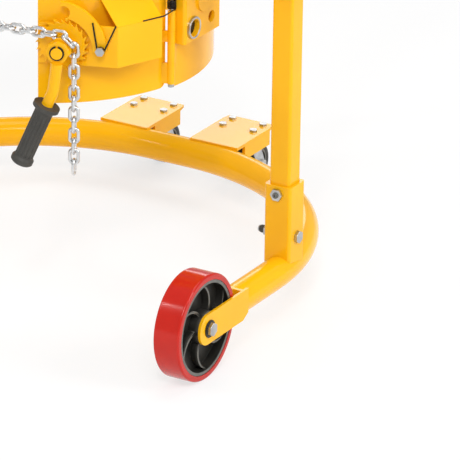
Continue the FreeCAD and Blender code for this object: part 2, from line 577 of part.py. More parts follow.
caster_tyre = turned("caster_tyre", [
    ("-caster_width / 2", "caster_radius - caster_tyre"), ("caster_width / 2", "caster_radius - caster_tyre"),
    ("caster_width / 2", "caster_radius"), ("-caster_width / 2", "caster_radius")])
place(caster_tyre, "caster_out", "caster_back + caster_trail", "caster_radius")
pair("caster_tyre", rounded("left_caster_tyre", caster_tyre, size.caster_tyre / 2,
                            outer_rim(size.caster_radius)))
hub_half = "(caster_width / 2 + yoke_gap - race_play)"
caster_rim = "(caster_radius - caster_tyre)"
caster_hub = turned("left_caster_hub", [
    (f"-{hub_half}", "caster_axle + bearing_play"), (hub_half, "caster_axle + bearing_play"),
    (hub_half, "caster_axle * 2.4"), ("caster_width / 5", "caster_axle * 2.8"),
    ("caster_width / 5", f"{caster_rim} - 6"), ("caster_width / 2 - 1", f"{caster_rim} - 4"),
    ("caster_width / 2 - 1", caster_rim), ("1 - caster_width / 2", caster_rim),
    ("1 - caster_width / 2", f"{caster_rim} - 4"), ("-caster_width / 5", f"{caster_rim} - 6"),
    ("-caster_width / 5", "caster_axle * 2.8"), (f"-{hub_half}", "caster_axle * 2.4")])
pair("caster_hub", place(caster_hub, "caster_out", "caster_back + caster_trail", "caster_radius"))

caster_grip = size.bracket_plate + size.caster_plate
caster_bolt_set = [hex_bolt(spot + UP * caster_top, -UP, caster_grip, size.caster_bolt_radius,
                            size.short_tail) for spot in caster_bolt_spots]
caster_bolts = solid("left_caster_bolts", Part.makeCompound(caster_bolt_set))
piece("caster_bolts", group("caster_bolts", caster_bolts, mirrored("right_caster_bolts", caster_bolts)))

# Holder: a half-round saddle with hinged wings in front, all on the load axis.
shell_in = "(load_radius + shell_gap)"
shell_out = "(load_radius + shell_gap + shell_wall)"
outside = size.load_radius + size.shell_gap + size.shell_wall


def around(radius, angle, z=0):
    """A point at an angle round the load axis."""
    turn = math.radians(angle)
    return Vector(radius * math.cos(turn), radius * math.sin(turn), z)


def sector(name, start, sweep, bottom, top):
    """Part of the shell's outer cylinder, from one angle on."""
    wedge = bind(add("Part::Cylinder", name), Radius=shell_out, Height=f"{top} - {bottom}", Angle=sweep)
    return place(wedge, 0, 0, bottom, Rotation(UP, number_of(start)))


load_space = rod("load_space", shell_in, "2 * saddle_top", 0, 0, 0)
shell_core = rod("shell_core", shell_out, "2 * saddle_top", 0, 0, 0)

# Hinge knuckles, listed from the bottom up, with one gap for the spring.
hinge_reach = "(load_radius + shell_gap + shell_wall + hinge_standoff)"
hinge_x = f"({hinge_reach} * cos(hinge_angle))"
hinge_y = f"(-{hinge_reach} * sin(hinge_angle))"
hinge_at = Vector(number_of(hinge_x), number_of(hinge_y), 0)


def knuckle(name, low, height, root_angle):
    """One hinge barrel and the tab that joins it to the middle of the shell's wall."""
    barrel = rod(name + "_barrel", "hinge_barrel", f"{height} - knuckle_play", hinge_x, hinge_y, low)
    run = around(outside - size.shell_wall / 2, root_angle) - hinge_at
    turn = Rotation(ACROSS, run)
    side = turn.multVec(ALONG) * (size.hinge_tab / 2)
    tab = bind(add("Part::Box", name + "_tab"), Length=run.Length, Width="hinge_tab",
               Height=f"{height} - knuckle_play")
    place(tab, f"{hinge_x} - ({side.x})", f"{hinge_y} - ({side.y})", low, turn)
    return fuse(name, barrel, tab)


root_angles = {"wing": -size.wing_root_angle - size.tab_overlap,
               "saddle": -size.saddle_edge_angle + size.tab_overlap}
knuckles = {"wing": [], "saddle": []}
level = "hinge_bottom + knuckle_play"
hinge_stack = (("wing", "knuckle_tall"), ("saddle", "knuckle_tall"), ("wing", "knuckle_short"),
               ("saddle", "knuckle_tall"), ("spring", "spring_space"),
               ("saddle", "knuckle_tall"), ("wing", "knuckle_tall"))
for row, (owner, height) in enumerate(hinge_stack):
    if owner == "spring":
        spring_low = number_of(level)
    else:
        knuckles[owner].append(knuckle(f"knuckle_{row}", level, height, root_angles[owner]))
    level = f"{level} + {height}"

pin_low = "(hinge_bottom - pin_head_height)"
pin_shank = rod("pin_shank", "hinge_pin", f"{level} + hinge_pin - {pin_low}", hinge_x, hinge_y, pin_low)
pin_cap = rod("pin_cap", "pin_head", "pin_head_height", hinge_x, hinge_y, pin_low)
pair("hinge_pin", fuse("left_hinge_pin", pin_shank, pin_cap))

left_knuckles = fuse("left_knuckles", *knuckles["saddle"])
saddle_sector = sector("saddle_sector", "-saddle_edge_angle", "180 + 2 * saddle_edge_angle", "saddle_bottom",
                       "saddle_top")
saddle_body = fuse("saddle_body", saddle_sector, left_knuckles, mirrored("right_knuckles", left_knuckles))
piece("saddle_shell", cut("saddle_shell", saddle_body, load_space, pin_shank,
                          mirrored("pin_shank_right", pin_shank)))

wing_wedge = sector("wing_wedge", "-wing_free_angle", "wing_free_angle - wing_root_angle", "wing_bottom",
                    "wing_top")
wing_plate = cut("wing_plate", wing_wedge, load_space)
free_edge = outside * math.cos(math.radians(size.wing_free_angle))
free_round = rounded("free_round", wing_plate, size.wing_corner,
                     lambda e: abs(e.Length - size.shell_wall) < 1e-3 and edge_middle(e).x < free_edge + 1)
root_edge = (outside - size.shell_wall) * math.cos(math.radians(size.wing_root_angle))
wing_round = rounded("wing_round", free_round, size.root_corner,
                     lambda e: abs(e.Length - size.shell_wall) < 1e-3 and edge_middle(e).x > root_edge
                     and edge_middle(e).z < size.wing_bottom + 1e-3)
wing_bore = rod("wing_bore", "hinge_pin + hinge_play", "2 * saddle_top", hinge_x, hinge_y, 0)
pair("wing", cut("left_wing", fuse("wing_body", wing_round, *knuckles["wing"]), load_space, wing_bore))


# Cheeks: flanged side plates on the saddle that carry the trunnions and the tilt stop.
cheek_in = "(cheek_face - cheek_plate)"
cheek_tall = "(cheek_top - cheek_bottom)"
cheek_block = box("cheek_block", "cheek_face - load_radius", "cheek_front + cheek_back", cheek_tall,
                  "load_radius", "-cheek_front", "cheek_bottom")
cheek_bent = rounded("cheek_bent", cheek_block, size.cheek_round,
                     lambda e: runs_along(e, UP) and edge_middle(e).x > size.cheek_face - 1e-3)
cheek_hollow = box("cheek_hollow", "cheek_face - load_radius", "cheek_front + cheek_back - 2 * cheek_plate",
                   "2 * cheek_top", "load_radius - cheek_plate", "cheek_plate - cheek_front", 0)
cheek_boss = rod("cheek_boss", "cheek_boss_radius", "cheek_boss", "cheek_face", 0, "cheek_boss_high", ACROSS)
lock_y = "(-lock_radius * sin(lock_angle))"
lock_z = "(cheek_boss_high - lock_radius * cos(lock_angle))"
index_y = "(index_radius * sin(index_angle))"
index_z = "(cheek_boss_high - index_radius * cos(index_angle))"


def cheek_hole(name, radius, y, z):
    return rod(name, radius, "4 * cheek_plate", f"{cheek_in} - cheek_plate", y, z, ACROSS)


cheek_holes = [cheek_hole("shaft_hole", "pivot_radius", 0, "pivot_high"),
               cheek_hole("index_hole", "index_hole", index_y, index_z),
               cheek_hole("lock_hole", "lock_tube", lock_y, lock_z)]
cheek_shell = cut("cheek_shell", cheek_bent, cheek_hollow)
pair("cheek", cut("left_cheek", fuse("cheek_body", cheek_shell, cheek_boss), shell_core, left_knuckles,
                  *cheek_holes))

# Trunnion shafts: from the cheeks out through the pivot sleeves, with a collar each side of the sleeve.
shaft_end = f"({post_x} - post_side / 2 + race_play)"
trunnion = rod("trunnion", "pivot_radius", f"{shaft_end} + cheek_plate - {cheek_in}", cheek_in, 0,
               "pivot_high", ACROSS)
outer_collar = rod("outer_collar", "pivot_radius + collar", "cheek_plate", shaft_end, 0, "pivot_high", ACROSS)
inner_collar = rod("inner_collar", "pivot_radius + collar", "cheek_plate",
                   f"{shaft_end} - 2 * race_play - sleeve_length - cheek_plate", 0, "pivot_high", ACROSS)
pair("trunnion_shaft", fuse("left_trunnion_shaft", trunnion, outer_collar, inner_collar))

# Tilt stop: a short tube through the left cheek with a flanged peg in it.
def stop_part(name, radius, length):
    return rod(name, radius, length, cheek_in, lock_y, lock_z, ACROSS)


stop_inside = "lock_tube - lock_tube_wall"
piece("tilt_stop_tube", cut("tilt_stop_tube", stop_part("lock_out", "lock_tube", "lock_tube_length"),
                            stop_part("lock_bore", stop_inside, "lock_tube_length")))
piece("tilt_stop_peg", fuse("tilt_stop_peg", stop_part("peg_flange", stop_inside, "lock_tube_wall"),
                            stop_part("peg_shank", "lock_pin", "3 * cheek_plate")))

# Ratchet frame: u runs across the bracket's front plate, v up, and off is outward from its face.
outward = around(1, -size.ratchet_angle)
along_plate = UP.cross(outward)
face_turn = Rotation(along_plate, UP, outward, "XYZ")
shaft_at = outward * size.bracket_face + along_plate * size.shaft_across + UP * size.shaft_high
ratchet_at = Placement(shaft_at + Vector(0, size.load_y, 0), face_turn)


def on_ratchet(thing, u=0, v=0, off=0, turn=Rotation()):
    """Put a thing in the ratchet frame, measured from the shaft at the bracket's face."""
    thing.Placement = ratchet_at.multiply(Placement(Vector(u, v, off), turn))
    return thing


def stud(name, radius, length, off, u=0, v=0):
    """A round bar along the shaft's direction in the ratchet frame."""
    return on_ratchet(bind(add("Part::Cylinder", name), Radius=radius, Height=length), u, v, off)


# Ratchet bracket: a plate bent round the mechanism, seated on the wing at both ends.
side_out = around(1, -size.bracket_side_angle)
side_run = UP.cross(side_out)
plate_left = outward * size.bracket_face + along_plate * size.bracket_left
crease = outward * size.bracket_face + along_plate * size.bracket_crease
side_end = crease + side_run * size.bracket_side
bent_line = [plate_left, crease, side_end, side_end - side_out * size.bracket_depth]


def bent_strip(corners, thick):
    """The plan of a bent plate: its outer corners, then the inner ones on the way back."""
    inner = []
    for i, corner in enumerate(corners):
        runs = [(corners[j + 1] - corners[j]).normalize() for j in (i - 1, i) if 0 <= j < len(corners) - 1]
        middle = (UP.cross(runs[0]) + UP.cross(runs[-1])) / 2
        inner.append(corner + middle * (thick / middle.dot(middle)))
    return corners + inner[::-1]


def prism(corners, run):
    """A straight solid from a flat polygon."""
    return Part.Face(Part.makePolygon(corners + corners[:1])).extrude(run)


bent_plan = [corner + UP * size.bracket_low for corner in bent_strip(bent_line, size.bracket_thick)]
bent_plate = solid("bent_plate", prism(bent_plan, UP * (size.bracket_high - size.bracket_low)))
shaft_hole = stud("ratchet_shaft_hole", "shaft_radius", "4 * bracket_thick", -2 * size.bracket_thick)
pawl_hole = stud("pawl_bolt_hole", "pawl_bolt", "4 * bracket_thick", -2 * size.bracket_thick, size.pawl_u,
                 size.pawl_v)
piece("ratchet_bracket", cut("ratchet_bracket", bent_plate, shell_core, shaft_hole, pawl_hole))

hood_foot = crease + UP * size.bracket_high
hood_step = side_out * -size.bracket_thick
hood_rise = side_out * -size.hood_in + UP * size.hood_up
hood_profile = [hood_foot, hood_foot + hood_step, hood_foot + hood_step + hood_rise, hood_foot + hood_rise]
hood_plate = solid("hood_plate", prism(hood_profile, side_run * size.bracket_side))
piece("bracket_hood", cut("bracket_hood", hood_plate, shell_core))

# Hinge springs: close coils round the pin; the left one's leg bears on the hood, the right one's on its wing.
def coil_edges(radius, pitch, first, last):
    """Quarter-turn arcs of a rising coil, from one angle to another in degrees."""
    count = round((last - first) / 90)
    step = (last - first) / count

    def spot(angle):
        turn = math.radians(angle)
        return Vector(radius * math.cos(turn), radius * math.sin(turn), pitch * (angle - first) / 360)

    starts = [first + k * step for k in range(count)]
    return [Part.Arc(spot(a), spot(a + step / 2), spot(a + step)).toShape() for a in starts]


def tube_along(edges, radius):
    """One unbroken wire along joined edges, drawn with eight flats."""
    first = edges[0]
    turn = Rotation(UP, first.tangentAt(first.FirstParameter))
    start = first.valueAt(first.FirstParameter)
    ring = Part.makePolygon([start + turn.multVec(around(radius, 45 * k)) for k in range(9)])
    return Part.Wire(edges).makePipeShell([ring], True, False)


def least_gap(label, edges, radius):
    """Print the least space between turns that are not neighbours along the wire."""
    spots = [p for edge in edges for p in edge.discretize(9)[:-1]]
    runs = [0]
    for before, after in zip(spots, spots[1:]):
        runs.append(runs[-1] + before.distanceToPoint(after))
    nearest = min(spots[i].distanceToPoint(spots[j]) for i in range(len(spots)) for j in range(i)
                  if runs[i] - runs[j] > 8 * radius)
    print(label, "least gap", round(nearest - 2 * radius, 2))


def leg_turn(leg, radius):
    """The angle between a leg's tip and the place where the wire leaves the coil."""
    return math.degrees(math.acos(radius / math.hypot(leg.x, leg.y)))


def heading(leg):
    return math.degrees(math.atan2(leg.y, leg.x))


spring_base = hinge_at + UP * (spring_low + 2 * size.hinge_wire)
coil_pitch = (size.spring_space - 4 * size.hinge_wire) / size.hinge_coils


def hinge_spring(label, *bearing):
    """A coil that starts in a leg from its bearing points, the nearest one last."""
    leg = [spot - spring_base for spot in bearing]
    first = heading(leg[-1]) + leg_turn(leg[-1], size.hinge_spring_radius)
    coil = coil_edges(size.hinge_spring_radius, coil_pitch, first, first + 360 * size.hinge_coils)
    leg.append(coil[0].valueAt(coil[0].FirstParameter))
    wire = bent_edges(leg, [4 * size.hinge_wire] * (len(leg) - 2)) + coil
    least_gap(label, wire, size.hinge_wire)
    at = Placement(spring_base + ALONG * size.load_y, Rotation())
    return solid(label, tube_along(wire, size.hinge_wire), at)


leg_lift = side_out * (2 * size.hinge_wire - size.hinge_leg_rise) + UP * size.hinge_leg_rise
hood_rest = hood_foot + side_run * size.hinge_leg_run + leg_lift
hood_corner = hood_foot + side_run * (size.bracket_side + 3 * size.hinge_wire) + leg_lift
wing_rest = around(outside + 1.1 * size.hinge_wire, -size.hinge_leg_angle, spring_base.z)
piece("left_hinge_spring", hinge_spring("left_hinge_spring", hood_rest, hood_corner))
piece("right_hinge_spring", mirrored("right_hinge_spring", hinge_spring("right_spring_blank", wing_rest)))

# Ratchet shaft, toothed wheel, and the ring that keeps the lever on.
ratchet_shaft = stud("ratchet_shaft", "shaft_radius", "shaft_length + bracket_thick", -size.bracket_thick)
piece("ratchet_shaft", ratchet_shaft)


def polar(radius, angle, off=0):
    return around(radius, angle, off)


tooth = 360 / size.ratchet_teeth
tooth_line = []
for k in range(int(size.ratchet_teeth)):
    base = size.ratchet_phase + (k - size.tooth_run) * tooth
    tooth_line += [polar(size.ratchet_root, base), polar(size.ratchet_tip, base + size.tooth_run * tooth),
                   polar(size.ratchet_root, base + size.tooth_hook * tooth)]
toothed_disc = solid("toothed_disc", prism(tooth_line, UP * size.ratchet_thick))
on_ratchet(toothed_disc, off=size.ratchet_gap)
piece("ratchet_wheel", cut("ratchet_wheel", toothed_disc, ratchet_shaft))

lever_back = size.lever_plane - size.lever_thick
ring_blank = stud("ring_blank", "shaft_radius + ring_width", "ring_width", size.lever_plane + size.chain_play)
ring_gap = bind(add("Part::Box", "ring_gap"), Length="shaft_radius / 2", Width="shaft_radius * 2",
                Height="4 * ring_width")
on_ratchet(ring_gap, -size.shaft_radius / 4, 0, size.lever_plane)
piece("snap_ring", cut("snap_ring", ring_blank, ratchet_shaft, ring_gap))

# Pawl: a hooked claw whose nose drops into the teeth.
pawl_at = Vector(size.pawl_u, size.pawl_v, 0)
boss = size.pawl_boss
throat = size.ratchet_tip + size.throat_play
heel = pawl_at + ACROSS * boss
nose_angle = size.ratchet_phase + size.nose_turn
nose = [polar(throat, nose_angle),
        polar(size.ratchet_tip - size.nose_depth, size.ratchet_phase + size.nose_point * tooth),
        polar(throat, size.ratchet_phase + size.nose_face * tooth)]
toe = polar(size.ratchet_tip + size.toe_play, size.toe_angle)
crown = Vector(size.claw_crown_u, size.claw_crown_v, 0)
tail_top = Vector(size.claw_top_u, size.claw_top_v, 0)
tail_tip = Vector(size.claw_tip_u, size.claw_tip_v, 0)
hollow = Vector(size.claw_hollow_u, size.claw_hollow_v, 0)
pawl_edges = [
    Part.Arc(heel, crown, tail_top), Part.LineSegment(tail_top, tail_tip),
    Part.Arc(tail_tip, hollow, nose[0]), Part.LineSegment(nose[0], nose[1]),
    Part.LineSegment(nose[1], nose[2]), Part.Arc(nose[2], polar(throat, size.claw_bend_angle), toe),
    Part.Arc(toe, pawl_at - ALONG * boss, heel)]
pawl_face = Part.Face(Part.Wire([edge.toShape() for edge in pawl_edges]))
pawl_plate = on_ratchet(solid("pawl_plate", pawl_face.extrude(UP * size.ratchet_thick)), off=size.ratchet_gap)
pawl_bore = stud("pawl_bore", "pawl_bolt + hinge_play", "4 * ratchet_thick", 0, size.pawl_u, size.pawl_v)
piece("pawl", cut("pawl", pawl_plate, pawl_bore))

# Pawl spring: a coil round the pawl bolt, one leg on the claw and one on the bracket's plate.
pawl_face_off = size.ratchet_gap + size.ratchet_thick
wire_seat = 1.1 * size.pawl_wire
coil_low = pawl_face_off + wire_seat
coil_at = pawl_at + UP * coil_low
claw_leg = Vector(size.claw_leg_u, size.claw_leg_v, pawl_face_off + wire_seat) - coil_at
plate_leg = Vector(size.plate_leg_u, size.plate_leg_v, wire_seat) - coil_at
coil_first = heading(claw_leg) + leg_turn(claw_leg, size.pawl_spring_radius)
coil_last = heading(plate_leg) - leg_turn(plate_leg, size.pawl_spring_radius) + 360 * size.pawl_coils
pawl_coil = coil_edges(size.pawl_spring_radius, size.pawl_coil_pitch, coil_first, coil_last)
coil_start = pawl_coil[0].valueAt(pawl_coil[0].FirstParameter)
coil_end = pawl_coil[-1].valueAt(pawl_coil[-1].LastParameter)
pawl_wire = [Part.LineSegment(claw_leg, coil_start).toShape(), *pawl_coil,
             Part.LineSegment(coil_end, plate_leg).toShape()]
least_gap("pawl spring", pawl_wire, size.pawl_wire)
pawl_spring = solid("pawl_spring", tube_along(pawl_wire, size.pawl_wire))
piece("pawl_spring", on_ratchet(pawl_spring, size.pawl_u, size.pawl_v, coil_low))

bolt_top = coil_low + coil_end.z + 1.2 * size.pawl_wire
pawl_screw = hex_bolt(UP * bolt_top, -UP, bolt_top + size.bracket_thick, size.pawl_bolt, size.short_tail)
piece("pawl_bolt", on_ratchet(solid("pawl_bolt", pawl_screw), size.pawl_u, size.pawl_v))

# Chain: taut round links; those lying flat on the chain wheel alternate with those standing in its groove.
long_half = size.chain_pitch / 2 + size.chain_wire + size.chain_play / 6
short_half = size.chain_pitch - long_half


def pocket_turn(radius):
    """The angle that one flat and one standing link take up at a radius."""
    return 2 * math.degrees(math.asin(long_half / radius) + math.asin(short_half / radius))


low, high = long_half, 10 * long_half
for _ in range(60):
    wheel_path = (low + high) / 2
    if pocket_turn(wheel_path) > 360 / size.pocket_count:
        low = wheel_path
    else:
        high = wheel_path

run_radius = size.load_radius + size.shell_gap + size.chain_width / 2 + size.run_lift
wheel_middle = shaft_at + outward * size.chain_plane
run_start = wheel_middle + UP * wheel_path
start_reach = math.hypot(run_start.x, run_start.y)
start_angle = math.degrees(math.atan2(run_start.y, run_start.x))
touch_angle = start_angle - math.degrees(math.acos(run_radius / start_reach))
leave_angle = -180 - touch_angle - 5
wrap_length = math.radians(touch_angle - leave_angle) * run_radius
straight_length = math.sqrt(start_reach ** 2 - run_radius ** 2)
quarter = wheel_path * math.pi / 2


def chain_line(s):
    """The chain's middle line: up the tail, over the wheel, out to the load, round it and to the anchor."""
    if s < 0:
        return wheel_middle + along_plate * wheel_path + UP * s
    if s < quarter:
        turn = s / wheel_path
        return wheel_middle + (along_plate * math.cos(turn) + UP * math.sin(turn)) * wheel_path
    s -= quarter
    touch = around(run_radius, touch_angle, run_start.z)
    if s < straight_length:
        return run_start + (touch - run_start) * (s / straight_length)
    s -= straight_length
    if s < wrap_length:
        return around(run_radius, touch_angle - math.degrees(s / run_radius), run_start.z)
    leave = around(run_radius, leave_angle, run_start.z)
    return leave + UP.cross(leave).normalize() * (wrap_length - s)


def next_spot(s, chord):
    """The next place on the line at a straight distance from the last one."""
    near, far = s, s + 1.5 * chord
    for _ in range(50):
        middle = (near + far) / 2
        if chain_line(middle).distanceToPoint(chain_line(s)) < chord:
            near = middle
        else:
            far = middle
    return near


bend = (size.chain_width - 2 * size.chain_wire) / 2
half_straight = size.chain_pitch / 2 + size.chain_wire - bend
link_corners = [Vector(i * half_straight, j * bend, 0) for i, j in ((-1, -1), (1, -1), (1, 1), (-1, 1))]
link_line = Part.Wire([
    Part.LineSegment(link_corners[0], link_corners[1]).toShape(),
    Part.Arc(link_corners[1], ACROSS * (half_straight + bend), link_corners[2]).toShape(),
    Part.LineSegment(link_corners[2], link_corners[3]).toShape(),
    Part.Arc(link_corners[3], ACROSS * -(half_straight + bend), link_corners[0]).toShape()])
wire_reach = size.chain_wire - size.chain_play / 3
wire_corners = [link_corners[0] + Vector(0, wire_reach * math.cos(math.radians(a)),
                                         wire_reach * math.sin(math.radians(a))) for a in range(0, 361, 60)]
link_shape = link_line.makePipeShell([Part.makePolygon(wire_corners)], True, False)


def chain_link(first, second, standing):
    """One link between two places on the line; a standing link faces outward."""
    run = (second - first).normalize()
    face = run.cross(UP) if abs(run.z) < 1e-6 else Vector(outward)
    if face.dot(first + second) < 0:
        face = -face
    wide = face.cross(run) if standing else face
    copy = link_shape.copy()
    copy.Placement = Placement((first + second) / 2, Rotation(run, wide, run.cross(wide), "XYZ"))
    return copy


tail_set = []
spot = -size.chain_phase
for k in range(int(size.tail_links)):
    step = 2 * (short_half if k % 2 else long_half)
    tail_set.append(chain_link(chain_line(spot - step), chain_line(spot), k % 2 == 1))
    spot -= step
run_set = []
spot = -size.chain_phase
for k in range(int(size.run_links)):
    after = next_spot(spot, 2 * (long_half if k % 2 else short_half))
    link = chain_link(chain_line(spot), chain_line(after), k % 2 == 0)
    (tail_set if after < quarter else run_set).append(link)
    if k == 1:
        pocket_middle = (chain_line(spot) + chain_line(after)) / 2 - wheel_middle
    spot = after
piece("chain_tail", solid("chain_tail", Part.makeCompound(tail_set)))
piece("chain_front", solid("chain_front", Part.makeCompound(run_set)))

# Chain wheel: flats for the lying links and a groove for the standing ones, on a spacing hub.
flat_reach = pocket_middle.Length - size.chain_wire - size.chain_play
flat_angle = math.degrees(math.atan2(pocket_middle.z, pocket_middle.dot(along_plate)))
corner_reach = flat_reach / math.cos(math.pi / size.pocket_count)
pocket_angle = 360 / size.pocket_count
flats = [polar(corner_reach, flat_angle + (k + 0.5) * pocket_angle) for k in range(int(size.pocket_count))]
sheave_trim = Part.makeCylinder(size.sheave_reach, size.sheave_width)
pocket_block = solid("pocket_block", prism(flats, UP * size.sheave_width).common(sheave_trim))
on_ratchet(pocket_block, off=size.chain_plane - size.sheave_width / 2)
groove_half = size.chain_wire + size.groove_play
groove_root = wheel_path - size.chain_width / 2 - size.chain_wire / 2
groove_low = size.chain_plane - groove_half
groove = cut("groove", stud("groove_ring", 2 * wheel_path, 2 * groove_half, groove_low),
             stud("groove_core", groove_root, 2 * groove_half, groove_low))
hub_length = lever_back - pawl_face_off - size.chain_play
wheel_hub = stud("wheel_hub", "shaft_radius * 1.35", hub_length, pawl_face_off)
piece("chain_wheel", cut("chain_wheel", fuse("chain_wheel_body", pocket_block, wheel_hub), groove,
                         ratchet_shaft))

# Chain anchor: two ears on the right wing with a pin through the last link.
anchor_spot = chain_line(spot - 2 * size.chain_wire)
anchor_angle = math.degrees(math.atan2(anchor_spot.y, anchor_spot.x))
anchor_reach = math.hypot(anchor_spot.x, anchor_spot.y)
ear_half = 2.6 * size.chain_wire
ear_length = anchor_reach + ear_half - size.load_radius
anchor_parts = [Part.makeCylinder(size.chain_wire, 2 * (ear_half + size.anchor_ear),
                                  Vector(anchor_reach, 0, -ear_half - size.anchor_ear))]
for low_side in (1.4 * size.chain_wire, -1.4 * size.chain_wire - size.anchor_ear):
    anchor_parts.append(Part.makeBox(ear_length, 2 * ear_half, size.anchor_ear,
                                     Vector(size.load_radius, -ear_half, low_side)))
anchor_at = Placement(Vector(0, size.load_y, anchor_spot.z), Rotation(UP, anchor_angle))
anchor_blank = solid("anchor_blank", anchor_parts[0].fuse(anchor_parts[1:]).removeSplitter(), anchor_at)
piece("chain_anchor", cut("chain_anchor", anchor_blank, shell_core))

# Hand lever: a hub plate on the shaft's end, a bent tube, and a fluted grip.
hub = size.lever_hub
hub_angles = (0, 45, 90, 135, 180, 225, 258, 282, 315)
hub_line = [polar(hub * (1.15 if angle in (0, 258, 282) else 1), angle) for angle in hub_angles]
hub_plate = on_ratchet(solid("hub_plate", prism(hub_line, UP * size.lever_thick)), off=lever_back)
hub_bore = stud("hub_bore", "shaft_radius + hinge_play", "4 * lever_thick", lever_back - size.lever_thick)
lean = math.radians(size.grip_lean)
grip_way = Vector(-math.sin(lean), -math.cos(lean), 0)
lever_knee = Vector(-size.lever_bend_in, -size.lever_drop, size.lever_plane)
lever_start = Vector(0, -size.lever_top, size.lever_plane)
grip_start = lever_knee + grip_way * size.lever_neck
lever_end = grip_start + grip_way * (size.lever_grip_length - size.grip_base)
lever_bar = swept([lever_start, lever_knee, lever_end], [3 * size.lever_tube], size.lever_tube)
lever_arm = on_ratchet(solid("lever_arm", lever_bar))
piece("lever", cut("lever", fuse("lever_body", hub_plate, lever_arm), hub_bore))

foot_start = "(lever_grip_length - grip_base)"
grip_body = turned("lever_grip_body", [
    ("0", "lever_tube"), (foot_start, "lever_tube"), (foot_start, "0"), ("lever_grip_length", "0"),
    ("lever_grip_length", "lever_foot_radius * 0.85"), ("lever_grip_length - 3", "lever_foot_radius"),
    ("lever_grip_length - 10", "lever_foot_radius"), ("lever_grip_length - 15", "lever_grip_radius"),
    ("14", "lever_grip_radius"), ("9", "lever_grip_radius + 2"), ("7", "lever_guard_radius"),
    ("0", "lever_guard_radius")])
grip_turn = Rotation(grip_way, UP.cross(grip_way), UP, "XYZ")
on_ratchet(grip_body, *grip_start, grip_turn)
flute_length = size.lever_grip_length - 2 * size.flute_margin
flute_reach = size.lever_grip_radius + size.flute_radius / 2
flutes = []
for k in range(int(size.flute_count)):
    spot = polar(flute_reach, 360 * k / size.flute_count)
    flute_start = Vector(size.flute_margin, spot.x, spot.y)
    flutes.append(Part.makeCylinder(size.flute_radius, flute_length, flute_start, ACROSS))
flute_set = on_ratchet(solid("flute_set", Part.makeCompound(flutes)), *grip_start, grip_turn)
piece("lever_grip", cut("lever_grip", grip_body, flute_set))

# Check every object, then write one file for each sub-part.
sheet.clear("D1")
doc.recompute()
broken = [o.Name for o in doc.Objects if "Invalid" in o.State or "Error" in o.State]
broken += [p.Label for p in pieces if p.Shape.isNull() or not p.Shape.isValid()]
if broken:
    raise RuntimeError("these objects did not build: " + ", ".join(broken))
os.makedirs("parts", exist_ok=True)
for thing in pieces:
    thing.Shape.exportStep(f"parts/{thing.Label}.step")
    print(thing.Label, len(thing.Shape.Solids), round(thing.Shape.Volume))
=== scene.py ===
import json
import math

import bpy
from mathutils import Matrix, Vector

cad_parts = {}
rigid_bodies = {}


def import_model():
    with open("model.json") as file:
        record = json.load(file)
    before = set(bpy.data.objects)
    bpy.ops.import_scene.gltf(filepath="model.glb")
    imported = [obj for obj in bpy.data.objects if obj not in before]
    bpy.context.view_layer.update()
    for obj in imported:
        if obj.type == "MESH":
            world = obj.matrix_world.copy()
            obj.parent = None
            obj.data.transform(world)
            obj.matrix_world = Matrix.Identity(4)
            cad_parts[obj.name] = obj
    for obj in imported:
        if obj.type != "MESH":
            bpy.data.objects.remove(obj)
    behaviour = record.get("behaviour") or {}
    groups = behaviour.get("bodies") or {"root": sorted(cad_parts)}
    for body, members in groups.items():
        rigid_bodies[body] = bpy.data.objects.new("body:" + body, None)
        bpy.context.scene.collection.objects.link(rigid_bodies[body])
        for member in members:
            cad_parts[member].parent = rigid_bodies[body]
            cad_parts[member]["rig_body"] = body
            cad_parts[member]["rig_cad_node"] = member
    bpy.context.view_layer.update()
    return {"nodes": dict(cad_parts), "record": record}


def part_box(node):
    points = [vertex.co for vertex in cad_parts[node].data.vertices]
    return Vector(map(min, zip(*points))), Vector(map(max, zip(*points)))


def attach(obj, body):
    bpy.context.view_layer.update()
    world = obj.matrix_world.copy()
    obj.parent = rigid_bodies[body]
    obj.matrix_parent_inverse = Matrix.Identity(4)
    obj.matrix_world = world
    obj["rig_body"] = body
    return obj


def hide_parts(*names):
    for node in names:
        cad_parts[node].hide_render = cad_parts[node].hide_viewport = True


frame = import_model()

# Studio: a plain pale floor in an even room, lit by a large soft lamp high in front, one from the left side
# and one overhead. A small lamp, a strip and a low panel behind draw the streaks on treads and tubes.
bpy.context.scene.view_settings.view_transform = "Standard"
room = bpy.data.worlds.new("studio_room")
bpy.context.scene.world = room
room.use_nodes = True
room.node_tree.nodes["Background"].inputs["Color"].default_value = (1, 1, 1, 1)
room.node_tree.nodes["Background"].inputs["Strength"].default_value = 0.46

bpy.ops.object.select_all(action="DESELECT")
bpy.ops.mesh.primitive_plane_add(size=80, location=(0, 0, 0))
floor = bpy.context.object
floor.name = "studio_floor"
floor_paint = bpy.data.materials.new("floor_paint")
floor_paint.use_nodes = True
floor_tree = floor_paint.node_tree
floor_shader = floor_tree.nodes["Principled BSDF"]
floor_end = floor_tree.nodes["Material Output"]
floor_shader.inputs["Roughness"].default_value = 0.9
floor_shader.inputs["Specular IOR Level"].default_value = 0.1
floor_where = floor_tree.nodes.new("ShaderNodeTexCoord")
floor_grain = floor_tree.nodes.new("ShaderNodeTexNoise")
floor_grain.inputs["Scale"].default_value = 3
floor_tree.links.new(floor_where.outputs["Object"], floor_grain.inputs["Vector"])
floor_tone = floor_tree.nodes.new("ShaderNodeValToRGB")
floor_tone.color_ramp.elements[0].color = (0.92, 0.92, 0.92, 1)
floor_tone.color_ramp.elements[1].color = (0.96, 0.96, 0.96, 1)
floor_tree.links.new(floor_grain.outputs["Fac"], floor_tone.inputs["Fac"])
floor_tree.links.new(floor_tone.outputs["Color"], floor_shader.inputs["Base Color"])
